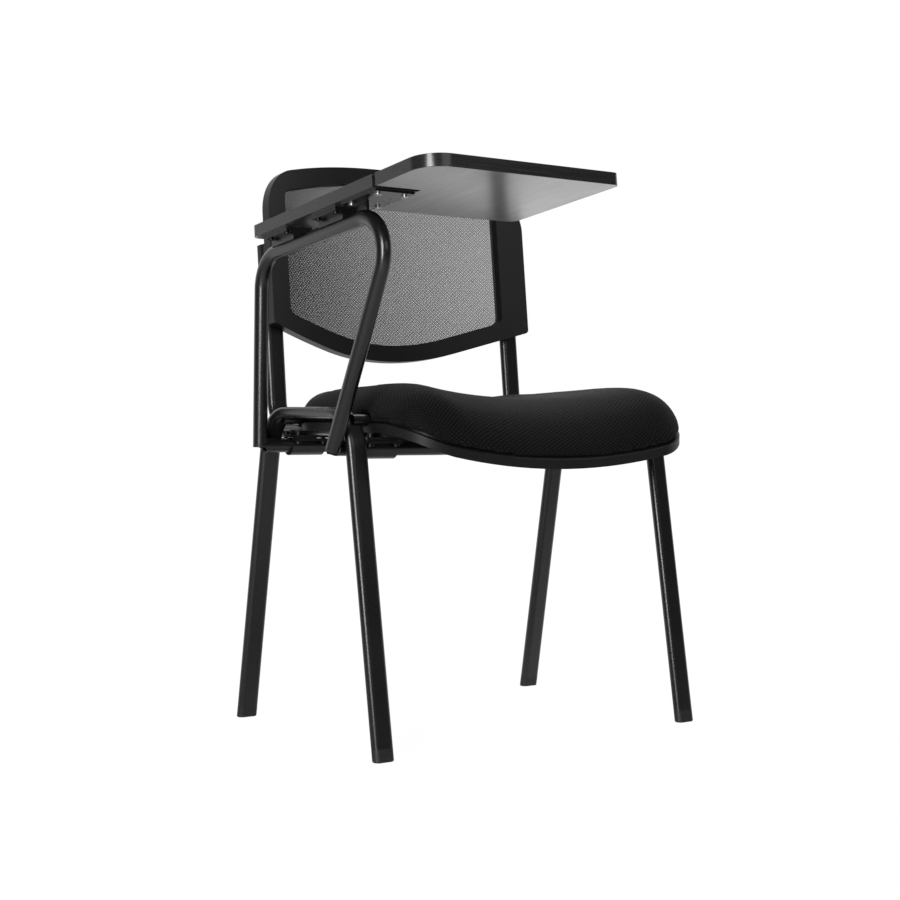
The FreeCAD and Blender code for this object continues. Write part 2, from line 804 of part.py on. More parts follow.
def tablet_place(shape):
    """Lifts a tablet piece onto the bar's slope. Drawn level, the boards' top is at height 0."""
    shape = shape.copy()
    shape.rotate(Vector(0, 0, 0), X_AXIS, -arm_slope)
    slope = math.radians(arm_slope)
    shape.translate(Vector(0, tablet_rise * math.sin(slope), arm_bar_height + tablet_rise * math.cos(slope)))
    return shape


seam_x = tablet_outer_x + armrest_width
hinge_middle_s = (armrest_front + panel_rear) / 2
hinge_places = {"front": hinge_middle_s - hinge_spacing / 2, "rear": hinge_middle_s + hinge_spacing / 2}


def hinge_rod(s0, s1, diameter):
    return rod(Vector(seam_x, s0, hinge_axis_rise), Y_AXIS, s1 - s0, diameter)


def knuckle_spans(s):
    """Fixed leaf's two outer knuckles and the panel leaf's middle one."""
    start = s - hinge_length / 2
    third = hinge_length / 3
    spans = [(start, start + third), (start + third, start + 2 * third), (start + 2 * third, start + 3 * third)]
    return [spans[0], spans[2]], [spans[1]]


def hinge_parts(s):
    start = s - hinge_length / 2
    end = s + hinge_length / 2
    fixed_spans, panel_spans = knuckle_spans(s)
    leaves = []
    sides = ((fixed_spans, -1, 0.0), (panel_spans, 1, hinge_side_clearance))
    for own, sign, trim in sides:
        x0, x1 = sorted((seam_x, seam_x + sign * hinge_leaf))
        leaf = box(x0, x1, start, end, -hinge_leaf_thickness, 0)
        leaf = leaf.cut(hinge_rod(start, end, hinge_knuckle + 2 * hinge_side_clearance))
        for s0, s1 in own:
            web = box(min(seam_x, seam_x + sign * hinge_knuckle), max(seam_x, seam_x + sign * hinge_knuckle),
                      s0 + trim, s1 - trim, -hinge_leaf_thickness, 0)
            leaf = leaf.fuse(web).fuse(hinge_rod(s0 + trim, s1 - trim, hinge_knuckle))
        bore = hinge_pin + (2 * hinge_pin_clearance if sign > 0 else 0.0)
        leaf = leaf.cut(hinge_rod(start, end, bore))
        leaves.append(leaf.removeSplitter())
    return leaves[0], leaves[1], hinge_rod(start, end, hinge_pin)


def hinge_screw(x, s):
    shank = rod(Vector(x, s, -hinge_screw_bite), Z_AXIS, hinge_screw_bite, hinge_screw_diameter)
    half = hinge_screw_head / 2
    head = Part.makeCone(hinge_screw_diameter / 2, half, hinge_leaf_thickness, Vector(x, s, -hinge_leaf_thickness))
    return shank.fuse(head).removeSplitter()


def board_with_band(outline):
    whole = prism(outline, -board_panel)
    core = prism(inset_outline(outline, edge_band), -board_panel)
    return core, whole.cut(core)


def make_tablet():
    armrest_outline = rounded_outline([
        (tablet_outer_x, armrest_front, 0),
        (seam_x, armrest_front, 0),
        (seam_x, armrest_rear, armrest_radius),
        (tablet_outer_x, armrest_rear, armrest_radius),
    ])
    right = tablet_outer_x + panel_width
    inner = seam_x + seam_clearance
    panel_outline = rounded_outline([
        (tablet_outer_x, panel_front, panel_outer_radius),
        (right, panel_front, panel_inner_radius),
        (right, panel_rear, armrest_radius),
        (inner, panel_rear, 0),
        (inner, armrest_front - front_gap, 0),
        (tablet_outer_x, armrest_front - front_gap, 0),
    ])
    armrest, armrest_band = board_with_band(armrest_outline)
    panel, panel_band = board_with_band(panel_outline)
    fixed_screws = []
    panel_screws = []
    for name, s in hinge_places.items():
        fixed, moving, pin = hinge_parts(s)
        for offset in (-hinge_screw_spread / 2, hinge_screw_spread / 2):
            fixed_screw = hinge_screw(seam_x - hinge_screw_reach, s + offset)
            panel_screw = hinge_screw(seam_x + hinge_screw_reach, s + offset)
            fixed = fixed.cut(fixed_screw)
            moving = moving.cut(panel_screw)
            armrest = armrest.cut(fixed_screw)
            panel = panel.cut(panel_screw)
            fixed_screws.append(tablet_place(fixed_screw))
            panel_screws.append(tablet_place(panel_screw))
        start = s - hinge_length / 2
        end = s + hinge_length / 2
        knuckle_room = hinge_rod(start, end, hinge_knuckle + 2 * hinge_side_clearance)
        reach = box(seam_x - hinge_leaf, seam_x + hinge_leaf, start, end, -hinge_leaf_thickness, 0)
        room = knuckle_room.fuse(reach)
        armrest = armrest.cut(room)
        armrest_band = armrest_band.cut(room)
        panel = panel.cut(room)
        panel_band = panel_band.cut(room)
        pieces["hinge_leaf_fixed_" + name] = tablet_place(fixed)
        pieces["hinge_leaf_panel_" + name] = tablet_place(moving)
        pieces["hinge_pin_" + name] = tablet_place(pin)
    pieces["hinge_screws_fixed"] = Part.makeCompound(fixed_screws)
    pieces["hinge_screws_panel"] = Part.makeCompound(panel_screws)
    armrest = make_saddles(armrest)
    armrest = make_rest_plate(armrest)
    pieces["armrest_board"] = tablet_place(armrest)
    pieces["armrest_edge_band"] = tablet_place(armrest_band)
    pieces["writing_panel"] = tablet_place(panel)
    pieces["writing_panel_edge_band"] = tablet_place(panel_band)


def board_screw(x, s, grip_low):
    """A pan-head screw driven up into the board from the lowest face it clamps."""
    foot = Vector(x, s, grip_low)
    length = -board_panel + saddle_screw_bite - grip_low
    shank = rod(foot, Z_AXIS, length, saddle_screw_diameter)
    head_height = saddle_screw_head_height
    head = rod(foot - Z_AXIS * head_height, Z_AXIS, head_height, saddle_screw_head)
    return shank.fuse(head).removeSplitter()


def make_saddles(armrest):
    """Saddles welded on the bar, each screwed up into the armrest board through its two flanges."""
    axis_h = -tablet_rise
    flange_low = -board_panel - saddle_flange
    half_s = saddle_length / 2
    half_x = saddle_width / 2
    neck_x = round_diameter / 2
    ear_x = (neck_x + half_x) / 2
    end_s = saddle_screw_spread / 2
    screws = []
    for name, s in (("front", saddle_front_s), ("rear", saddle_rear_s)):
        flange = box(arm_x - half_x, arm_x + half_x, s - half_s, s + half_s, flange_low, -board_panel)
        neck = box(arm_x - neck_x, arm_x + neck_x, s - half_s, s + half_s, axis_h + neck_x / 2, flange_low)
        bar = rod(Vector(arm_x, s - half_s, axis_h), Y_AXIS, saddle_length, round_diameter)
        saddle = flange.fuse(neck).cut(bar).removeSplitter()
        for x in (arm_x - ear_x, arm_x + ear_x):
            for end in (s - end_s, s + end_s):
                screw = board_screw(x, end, flange_low)
                saddle = saddle.cut(screw)
                armrest = armrest.cut(screw)
                screws.append(tablet_place(screw))
        pieces["saddle_" + name] = tablet_place(saddle)
    pieces["saddle_screws"] = Part.makeCompound(screws)
    return armrest


def make_rest_plate(armrest):
    """A plate welded over the bar's front end, screwed up into the armrest board."""
    under = -board_panel
    x0 = tablet_outer_x + rest_plate_inset
    x1 = x0 + rest_plate_width
    s0 = armrest_front + rest_plate_inset / 2
    s1 = s0 + rest_plate_length
    plate = box(x0, x1, s0, s1, under - rest_plate_thickness, under)
    screws = []
    for x in (x0 + rest_screw_inset, x1 - rest_screw_inset):
        for s in (s0 + rest_screw_inset, s1 - rest_screw_inset):
            screw = board_screw(x, s, under - rest_plate_thickness)
            plate = plate.cut(screw)
            armrest = armrest.cut(screw)
            screws.append(tablet_place(screw))
    low = -tablet_rise - 2 * round_diameter
    web = box(arm_x - rest_web / 2, arm_x + rest_web / 2, s1 - rest_web_length, s1, low,
              under - rest_plate_thickness)
    web = tablet_place(web).cut(round_bar(arm_path(), round_diameter))
    pieces["rest_plate"] = tablet_place(plate)
    pieces["rest_plate_web"] = max(web.Solids, key=lambda s: s.CenterOfMass.z)
    pieces["rest_plate_screws"] = Part.makeCompound(screws)
    return armrest


def build():
    solid_legs = make_legs()
    make_cross_tubes(solid_legs)
    make_uprights()
    make_back()
    make_seat()
    make_arm()
    make_base_clamps()
    make_tablet()


def export():
    """Puts the origin at the bottom centre of the chair's box and writes each piece."""
    os.makedirs("parts", exist_ok=True)
    whole = Part.makeCompound(list(pieces.values())).optimalBoundingBox(False, False)
    shift = Vector(-whole.Center.x, -whole.Center.y, -whole.ZMin)
    for name, shape in pieces.items():
        shape = shape.copy()
        shape.translate(shift)
        shape.exportStep("parts/" + name + ".step")
    hinge = tablet_place(Part.Vertex(seam_x, hinge_middle_s, hinge_axis_rise)).Point + shift
    print("shift", shift)
    print("hinge point", hinge)
    print("size", whole.XLength, whole.YLength, whole.ZLength)


build()
export()
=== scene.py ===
import json
import math

import bpy
from mathutils import Matrix, Vector
from mathutils.bvhtree import BVHTree


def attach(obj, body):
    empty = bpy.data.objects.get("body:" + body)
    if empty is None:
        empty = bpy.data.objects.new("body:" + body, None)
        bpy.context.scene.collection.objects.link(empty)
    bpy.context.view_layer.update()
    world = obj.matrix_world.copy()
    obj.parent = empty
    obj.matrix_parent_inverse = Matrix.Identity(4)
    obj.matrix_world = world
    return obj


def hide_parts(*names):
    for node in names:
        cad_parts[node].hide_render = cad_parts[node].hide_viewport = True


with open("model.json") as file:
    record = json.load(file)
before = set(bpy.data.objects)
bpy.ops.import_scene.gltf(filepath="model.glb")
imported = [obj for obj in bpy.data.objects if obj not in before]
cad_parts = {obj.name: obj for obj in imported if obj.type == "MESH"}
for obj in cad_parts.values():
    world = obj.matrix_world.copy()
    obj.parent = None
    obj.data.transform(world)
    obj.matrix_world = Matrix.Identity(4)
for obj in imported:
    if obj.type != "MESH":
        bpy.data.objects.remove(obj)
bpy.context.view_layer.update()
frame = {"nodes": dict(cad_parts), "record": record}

SCENE = bpy.context.scene
NODES = frame["nodes"]

# Camera of the photograph, in metres and degrees
CAMERA_AT = Vector((-1.34875, -1.885057, 0.443))
CAMERA_YAW = 34.7
CAMERA_PITCH = 1.28
CAMERA_ROLL = -0.5
CAMERA_LENS = 65.6
CAMERA_SENSOR = 36.0

# Level direction from the camera to behind the chair
BEHIND_CHAIR = (math.sin(math.radians(CAMERA_YAW)), math.cos(math.radians(CAMERA_YAW)), 0.0)

# Mesh of the back: a diagonal grid of holes that follows the back's bow
BACK_LEAN = 7.0
NET_ACROSS = 0.0031
NET_UP = 0.0028
NET_HOLE_ACROSS = 0.00084
NET_HOLE_UP = 0.00076
NET_OPEN = 1.3
NET_THICKNESS = 0.0008
NET_BOW = 0.009
NET_EDGE = 0.0012
NET_LAP = 0.012
NET_LIFT = 0.0006
NET_PROBE = 0.15
NET_CAST_FROM = 0.05
NET_CAST = 0.3
NET_STEPS = 400

# Edge rounding of moulded and sawn pieces
WELD_GAP = 1e-5
BEVEL_ANGLE = 50
NORMAL_WEIGHT = 80
SOFT_EDGES = {
    "back_frame_front": 0.0016,
    "back_frame_rear": 0.0012,
    "seat_pan": 0.001,
    "armrest_edge_band": 0.0006,
    "writing_panel_edge_band": 0.0006,
}

# Floor
FLOOR_HALF = 30.0
FLOOR_COLOUR = (0.6, 0.6, 0.6, 1.0)
FLOOR_GLOW = 1.04

# Seat cover
PAD_VOXEL = 0.004
PAD_PRESSURE = 4.0
PAD_FRAMES = 20
PAD_CAP = 0.0012
PAD_SMOOTHING = 6
PAD_SETTLING = 4
PAD_UNDERSIDE = -0.25
KNIT_ACROSS = 0.0086
KNIT_UP = 0.0076


class Tree:
    """A material's node tree with short ways to add and join nodes."""

    def __init__(self, name):
        self.material = bpy.data.materials.new(name)
        self.material.use_nodes = True
        self.nodes = self.material.node_tree.nodes
        self.links = self.material.node_tree.links
        self.shader = self.nodes["Principled BSDF"]
        self.output = self.nodes["Material Output"]

    def add(self, kind, **settings):
        node = self.nodes.new(kind)
        for key, value in settings.items():
            setattr(node, key, value)
        return node

    def join(self, source, target):
        self.links.new(source, target)

    def set(self, **values):
        for key, value in values.items():
            self.shader.inputs[key.replace("_", " ")].default_value = value

    def place(self, scale=(1.0, 1.0, 1.0), turn=(0.0, 0.0, 0.0), kind="Object"):
        coordinates = self.add("ShaderNodeTexCoord")
        mapping = self.add("ShaderNodeMapping")
        mapping.inputs["Scale"].default_value = scale
        mapping.inputs["Rotation"].default_value = [math.radians(a) for a in turn]
        self.join(coordinates.outputs[kind], mapping.inputs["Vector"])
        return mapping.outputs["Vector"]

    def noise(self, vector, scale, detail=3.0, rough=0.5):
        node = self.add("ShaderNodeTexNoise")
        node.inputs["Scale"].default_value = scale
        node.inputs["Detail"].default_value = detail
        node.inputs["Roughness"].default_value = rough
        self.join(vector, node.inputs["Vector"])
        return node.outputs["Fac"]

    def ramp(self, source, low, high, first, last):
        """Runs from first to last, colours or numbers, as the source goes from low to high."""
        node = self.add("ShaderNodeValToRGB")
        for stop, at, value in zip(node.color_ramp.elements, (low, high), (first, last)):
            stop.position = at
            stop.color = (*value, 1.0) if hasattr(value, "__len__") else (value, value, value, 1.0)
        self.join(source, node.inputs["Fac"])
        return node.outputs["Color"]

    def math(self, operation, first, second=None):
        node = self.add("ShaderNodeMath", operation=operation)
        for socket, value in zip(node.inputs, (first, second)):
            if value is None:
                continue
            if isinstance(value, (int, float)):
                socket.default_value = value
            else:
                self.join(value, socket)
        return node.outputs[0]

    def bump(self, height, strength, distance, below=None):
        node = self.add("ShaderNodeBump")
        node.inputs["Strength"].default_value = strength
        node.inputs["Distance"].default_value = distance
        self.join(height, node.inputs["Height"])
        if below is not None:
            self.join(below, node.inputs["Normal"])
        return node.outputs["Normal"]

    def finish(self, colour=None, roughness=None, normal=None):
        for name, source in (("Base Color", colour), ("Roughness", roughness), ("Normal", normal)):
            if source is not None:
                self.join(source, self.shader.inputs[name])
        return self.material


def grey(value):
    return (value, value, value)


def powder_coat():
    """Satin black paint with a fine orange peel and a few dull patches."""
    tree = Tree("powder_coat_black")
    tree.set(Specular_IOR_Level=0.6)
    where = tree.place()
    patches = tree.noise(where, 9.0, 4.0)
    peel = tree.noise(where, 1100.0, 2.0)
    colour = tree.ramp(patches, 0.3, 0.7, grey(0.0040), grey(0.0065))
    roughness = tree.ramp(patches, 0.3, 0.75, 0.25, 0.33)
    return tree.finish(colour, roughness, tree.bump(peel, 0.10, 0.00025))


def moulded_plastic(name, dark, light, dull, grain, depth):
    """Black injection-moulded plastic with a spark-eroded grain."""
    tree = Tree(name)
    tree.set(Specular_IOR_Level=0.26)
    where = tree.place()
    patches = tree.noise(where, 6.0, 3.0)
    fine = tree.noise(where, grain, 3.0, 0.7)
    colour = tree.ramp(patches, 0.3, 0.7, grey(dark), grey(light))
    roughness = tree.ramp(fine, 0.25, 0.75, dull - 0.05, dull + 0.07)
    return tree.finish(colour, roughness, tree.bump(fine, depth, 0.0003))


def foot_plastic():
    """Matte black plastic, scuffed grey where it rubs on the floor."""
    tree = Tree("foot_plastic_black")
    where = tree.place()
    axes = tree.add("ShaderNodeSeparateXYZ")
    tree.join(where, axes.inputs["Vector"])
    near_floor = tree.ramp(axes.outputs["Z"], 0.0, 0.007, 1.0, 0.0)
    specks = tree.ramp(tree.noise(where, 420.0, 4.0, 0.7), 0.48, 0.66, 0.0, 1.0)
    wear = tree.math("MULTIPLY", near_floor, specks)
    colour = tree.ramp(wear, 0.0, 1.0, grey(0.012), grey(0.07))
    roughness = tree.ramp(wear, 0.0, 1.0, 0.5, 0.75)
    return tree.finish(colour, roughness, tree.bump(tree.noise(where, 1500.0), 0.15, 0.0003))


def laminate():
    """Black wood-print laminate: long fine grain in colour, gloss and a slight emboss."""
    tree = Tree("laminate_black")
    long_grain = tree.place((60.0, 2.2, 60.0))
    fine_grain = tree.place((190.0, 3.5, 190.0))
    broad = tree.noise(long_grain, 1.0, 4.0, 0.6)
    fine = tree.noise(fine_grain, 1.0, 3.0, 0.6)
    both = tree.math("ADD", tree.math("MULTIPLY", broad, 0.75), tree.math("MULTIPLY", fine, 0.25))
    tree.set(Coat_Weight=1.0, Coat_Roughness=0.19)
    colour = tree.ramp(both, 0.32, 0.68, grey(0.026), grey(0.050))
    roughness = tree.ramp(both, 0.35, 0.65, 0.28, 0.38)
    return tree.finish(colour, roughness, tree.bump(broad, 0.02, 0.0004))


def edge_band():
    """Glossy black edge strip with faint scraper lines along it."""
    tree = Tree("edge_band_black")
    lines = tree.noise(tree.place((14.0, 14.0, 900.0)), 1.0, 3.0, 0.6)
    colour = tree.ramp(lines, 0.3, 0.7, grey(0.010), grey(0.020))
    roughness = tree.ramp(lines, 0.3, 0.7, 0.20, 0.28)
    return tree.finish(colour, roughness, tree.bump(lines, 0.05, 0.0003))


def metal(name, colour, dull, stretch):
    """Bare or plated steel with directional scratches."""
    tree = Tree(name)
    tree.set(Metallic=1.0)
    scratches = tree.noise(tree.place(stretch), 1.0, 4.0, 0.65)
    tint = tree.ramp(scratches, 0.3, 0.7, [c * 0.75 for c in colour], colour)
    roughness = tree.ramp(scratches, 0.3, 0.7, dull - 0.07, dull + 0.09)
    return tree.finish(tint, roughness, tree.bump(scratches, 0.08, 0.0002))


def plywood():
    """Birch plywood with its layers showing at the edge."""
    tree = Tree("plywood_birch")
    layers = tree.noise(tree.place((3.0, 3.0, 650.0)), 1.0, 2.0)
    grain = tree.noise(tree.place((12.0, 260.0, 40.0)), 1.0, 4.0, 0.6)
    both = tree.math("ADD", tree.math("MULTIPLY", layers, 0.5), tree.math("MULTIPLY", grain, 0.5))
    colour = tree.ramp(both, 0.35, 0.65, (0.33, 0.19, 0.09), (0.60, 0.42, 0.25))
    roughness = tree.ramp(grain, 0.3, 0.7, 0.55, 0.7)
    return tree.finish(colour, roughness, tree.bump(grain, 0.1, 0.0004))


def net_yarn():
    """Black polyester yarn of the back's mesh, twisted and slightly shiny."""
    tree = Tree("back_mesh_yarn")
    tree.set(Sheen_Weight=0.12, Sheen_Roughness=0.4, Specular_IOR_Level=0.35)
    twist = tree.noise(tree.place((2600.0, 2600.0, 1100.0), (0.0, 38.0, 0.0)), 1.0, 2.0)
    patches = tree.noise(tree.place(), 14.0, 3.0)
    colour = tree.ramp(patches, 0.3, 0.7, grey(0.012), grey(0.020))
    roughness = tree.ramp(twist, 0.3, 0.7, 0.5, 0.68)
    return tree.finish(colour, roughness, tree.bump(twist, 0.4, 0.0002))


def knit_cover():
    """Black spacer knit of the seat: staggered dots in shallow dimples, their pale colour a painted sheen on the
    fibres, fine loops on top.
    """
    tree = Tree("seat_knit_black")
    tree.set(Specular_IOR_Level=0.08, Sheen_Weight=0.03, Sheen_Roughness=0.45)
    coordinates = tree.add("ShaderNodeTexCoord")
    axes = tree.add("ShaderNodeSeparateXYZ")
    tree.join(coordinates.outputs["UV"], axes.inputs["Vector"])
    waves = []
    for axis, period in (("X", KNIT_ACROSS), ("Y", KNIT_UP)):
        turns = tree.math("MULTIPLY", axes.outputs[axis], 2 * math.pi / period)
        waves.append(tree.math("COSINE", turns))
    lattice = tree.math("MULTIPLY", *waves)
    # The dot lattice is the knit's own pattern; the pale colour given to the dots is painted sheen of the
    # fibres.
    dot = tree.ramp(lattice, 0.30, 0.80, 0.0, 1.0)
    loops = tree.noise(tree.place(kind="UV"), 1500.0, 2.0)
    dot_and_painted_sheen_tone = tree.math("MULTIPLY", dot, tree.ramp(loops, 0.3, 0.7, 0.55, 1.0))
    # Painted sheen: the pale end of this ramp brightens the dots; the dark end is the knit's own black.
    colour = tree.ramp(dot_and_painted_sheen_tone, 0.0, 1.0, grey(0.0028), grey(0.019))
    roughness = tree.ramp(loops, 0.3, 0.7, 0.6, 0.8)
    dimples = tree.bump(tree.math("SUBTRACT", 1.0, dot), 0.5, 0.0009)
    return tree.finish(colour, roughness, tree.bump(loops, 0.35, 0.0003, dimples))


STEEL = powder_coat()
BACK_PLASTIC = moulded_plastic("moulded_plastic_black", 0.0055, 0.0085, 0.44, 1300.0, 0.16)
FOOT = foot_plastic()
LAMINATE = laminate()
EDGE = edge_band()
ZINC = metal("zinc_plated_steel", (0.62, 0.62, 0.60), 0.32, (900.0, 900.0, 300.0))
HINGE = metal("hinge_steel_brushed", (0.42, 0.42, 0.43), 0.30, (1500.0, 40.0, 1500.0))
BLACK_STEEL = metal("blackened_steel", (0.032, 0.032, 0.033), 0.38, (900.0, 900.0, 300.0))
PLYWOOD = plywood()
YARN = net_yarn()
KNIT = knit_cover()

FINISHES = {
    "frame_steel": STEEL,
    "moulded_plastic": BACK_PLASTIC,
    "foot_plastic": FOOT,
    "back_mesh": YARN,
    "seat_fabric": KNIT,
    "plywood": PLYWOOD,
    "zinc_steel": ZINC,
    "hinge_steel": HINGE,
    "laminate": LAMINATE,
    "edge_band": EDGE,
    "black_steel": BLACK_STEEL,
}


def dress_nodes():
    """Gives every CAD node the finish of its material slot."""
    for part in frame["record"]["subparts"]:
        node = NODES[part["node"]]
        for place in node.material_slots:
            place.material = FINISHES[part["material_slot"]]


def soften(node, width, segments=2):
    """Rounds a CAD node's sharp edges a little, so that they catch the light."""
    piece = NODES[node]
    weld = piece.modifiers.new("weld", "WELD")
    weld.merge_threshold = WELD_GAP
    bevel = piece.modifiers.new("bevel", "BEVEL")
    bevel.width = width
    bevel.segments = segments
    bevel.limit_method = "ANGLE"
    bevel.angle_limit = math.radians(BEVEL_ANGLE)
    bevel.use_clamp_overlap = True
    normals = piece.modifiers.new("normals", "WEIGHTED_NORMAL")
    normals.weight = NORMAL_WEIGHT
    normals.keep_sharp = False


def new_piece(name, verts, faces, body, finish):
    mesh = bpy.data.meshes.new(name)
    mesh.from_pydata(verts, [], faces)
    mesh.update()
    piece = bpy.data.objects.new(name, mesh)
    SCENE.collection.objects.link(piece)
    mesh.materials.append(finish)
    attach(piece, body)
    return piece


def tree_of(node):
    mesh = NODES[node].data
    return BVHTree.FromPolygons([v.co.copy() for v in mesh.vertices], [tuple(p.vertices) for p in mesh.polygons])


def make_net():
    """The back's mesh as a grid of real holes, held at its edges and bowed to the rear."""
    lean = math.radians(BACK_LEAN)
    across = Vector((1, 0, 0))
    up = Vector((0, math.sin(lean), math.cos(lean)))
    rear = Vector((0, math.cos(lean), -math.sin(lean)))
    corners = [v.co for v in NODES["back_mesh"].data.vertices]
    u_values = [c.dot(across) for c in corners]
    v_values = [c.dot(up) for c in corners]
    ahead = min(c.dot(rear) for c in corners) - NET_CAST_FROM
    u_mid = (min(u_values) + max(u_values)) / 2
    u_half = (max(u_values) - min(u_values)) / 2
    v_mid = (min(v_values) + max(v_values)) / 2
    v_half = (max(v_values) - min(v_values)) / 2
    solid = tree_of("back_mesh")

    def depth_at(u, v):
        """Depth of the CAD mesh's front face, or None beside it."""
        hit = solid.ray_cast(across * u + up * v + rear * ahead, rear, NET_CAST)[0]
        return None if hit is None else hit.dot(rear)

    middle = depth_at(u_mid, v_mid)
    sag = middle - depth_at(u_mid + NET_PROBE, v_mid)
    radius = (NET_PROBE ** 2 + sag ** 2) / (2 * sag)
    half_arc = radius * math.asin(u_half / radius)

    def plan(a):
        """Place across and depth of the bowed sheet at an arc length from its middle."""
        return u_mid + radius * math.sin(a / radius), middle + NET_LIFT - radius * (1 - math.cos(a / radius))

    def inside(a, v):
        return depth_at(plan(a)[0], v) is not None

    def reach(a):
        """Lower and upper end of the CAD mesh at an arc length."""
        steps = [v_mid - v_half + 2 * v_half * k / NET_STEPS for k in range(NET_STEPS + 1)]
        held = [v for v in steps if inside(a, v)]
        return (held[0] + NET_LAP, held[-1] - NET_LAP) if held else (v_mid, v_mid)

    columns = int(2 * half_arc / NET_ACROSS) + 1
    rows = int(2 * v_half / NET_UP) + 1
    ends = {i: reach(i * NET_ACROSS / 2) for i in range(-columns, columns + 1)}

    def place(a, v, column):
        low, high = ends[column]
        bow = max(0.0, 1 - (a / (half_arc - NET_LAP)) ** 2)
        if high > low:
            bow *= max(0.0, 1 - ((2 * v - low - high) / (high - low)) ** 2)
        u, depth = plan(a)
        return across * u + up * v + rear * (depth + NET_BOW * bow)

    shared = {}
    verts = []
    faces = []

    def corner(i, j):
        """A crossing of the diagonal grid, made once."""
        if (i, j) not in shared:
            shared[i, j] = len(verts)
            verts.append(place(i * NET_ACROSS / 2, v_mid + j * NET_UP / 2, i))
        return shared[i, j]

    hole = ((NET_HOLE_ACROSS, 0), (0, NET_HOLE_UP), (-NET_HOLE_ACROSS, 0), (0, -NET_HOLE_UP))
    tips = ((NET_ACROSS / 2 + NET_EDGE, 0), (-NET_ACROSS / 2 - NET_EDGE, 0),
            (0, NET_UP / 2 + NET_EDGE), (0, -NET_UP / 2 - NET_EDGE))
    for i in range(-columns, columns + 1):
        for j in range(-rows, rows + 1):
            a = i * NET_ACROSS / 2
            v = v_mid + j * NET_UP / 2
            if (i + j) % 2 or not all(inside(a + da, v + dv) for da, dv in tips):
                continue
            outer = (corner(i + 1, j), corner(i, j + 1), corner(i - 1, j), corner(i, j - 1))
            size = NET_OPEN if i % 4 == j % 4 and i % 2 == 0 else 1.0
            first = len(verts)
            verts.extend(place(a + size * da, v + size * dv, i) for da, dv in hole)
            for k in range(4):
                n = (k + 1) % 4
                faces.append((outer[k], outer[n], first + n, first + k))
    net = new_piece("back_mesh_net", verts, faces, "chair", YARN)
    thick = net.modifiers.new("thickness", "SOLIDIFY")
    thick.thickness = NET_THICKNESS
    thick.offset = 0.0
    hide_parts("back_mesh")
    return net


def swell(piece):
    """Cloth simulation with inner pressure, each point held near where it began."""
    start = [v.co.copy() for v in piece.data.vertices]
    cloth = piece.modifiers.new("cloth", "CLOTH")
    settings = cloth.settings
    settings.use_pressure = True
    settings.uniform_pressure_force = PAD_PRESSURE
    settings.effector_weights.gravity = 0.0
    settings.quality = 6
    settings.tension_stiffness = 40.0
    settings.compression_stiffness = 40.0
    settings.shear_stiffness = 20.0
    settings.bending_stiffness = 2.0
    settings.vertex_group_mass = "held"
    cloth.collision_settings.use_collision = False
    cloth.point_cache.frame_end = PAD_FRAMES
    for step in range(1, PAD_FRAMES + 1):
        SCENE.frame_set(step)
    done = piece.evaluated_get(bpy.context.evaluated_depsgraph_get())
    swollen = [v.co.copy() for v in done.data.vertices]
    piece.modifiers.remove(cloth)
    SCENE.frame_set(1)
    for vertex, first, last in zip(piece.data.vertices, start, swollen):
        move = last - first
        if move.length > PAD_CAP:
            move *= PAD_CAP / move.length
        vertex.co = first + move


def apply_modifier(piece, name):
    bpy.ops.object.select_all(action="DESELECT")
    piece.select_set(True)
    bpy.context.view_layer.objects.active = piece
    bpy.ops.object.modifier_apply(modifier=name)


def knit_coordinates(piece):
    """Unrolls the cover onto the floor plane: what hangs down a side is laid outwards."""
    mesh = piece.data
    top = max(v.co.z for v in mesh.vertices)
    layer = mesh.uv_layers.new(name="knit")
    flat = []
    for vertex in mesh.vertices:
        fall = top - vertex.co.z
        flat.append((vertex.co.x + vertex.normal.x * fall, vertex.co.y + vertex.normal.y * fall))
    for loop in mesh.loops:
        layer.data[loop.index].uv = flat[loop.vertex_index]


def make_pad():
    """The seat's upholstery: a taut knit cover over foam, tucked in behind the rim."""
    mesh = NODES["seat_cushion"].data.copy()
    mesh.name = "seat_pad"
    pad = bpy.data.objects.new("seat_pad", mesh)
    SCENE.collection.objects.link(pad)
    remesh = pad.modifiers.new("remesh", "REMESH")
    remesh.mode = "VOXEL"
    remesh.voxel_size = PAD_VOXEL
    apply_modifier(pad, "remesh")
    smooth = pad.modifiers.new("smooth", "SMOOTH")
    smooth.factor = 0.5
    smooth.iterations = PAD_SMOOTHING
    apply_modifier(pad, "smooth")
    held = pad.vertex_groups.new(name="held")
    low = [v.index for v in pad.data.vertices if v.normal.z < PAD_UNDERSIDE]
    held.add(low, 1.0, "REPLACE")
    swell(pad)
    settle = pad.modifiers.new("settle", "SMOOTH")
    settle.factor = 0.5
    settle.iterations = PAD_SETTLING
    apply_modifier(pad, "settle")
    fine = pad.modifiers.new("fine", "SUBSURF")
    fine.levels = 1
    fine.render_levels = 1
    apply_modifier(pad, "fine")
    for polygon in pad.data.polygons:
        polygon.use_smooth = True
    knit_coordinates(pad)
    pad.data.materials.clear()
    pad.data.materials.append(KNIT)
    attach(pad, "chair")
    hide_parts("seat_cushion")
    return pad


def light(name, at, aim, power, size_x, size_y):
    lamp = bpy.data.lights.new(name, "AREA")
    lamp.shape = "RECTANGLE"
    lamp.energy = power
    lamp.size = size_x
    lamp.size_y = size_y
    holder = bpy.data.objects.new(name, lamp)
    holder.location = at
    holder.rotation_euler = (Vector(aim) - Vector(at)).to_track_quat("-Z", "Y").to_euler()
    SCENE.collection.objects.link(holder)


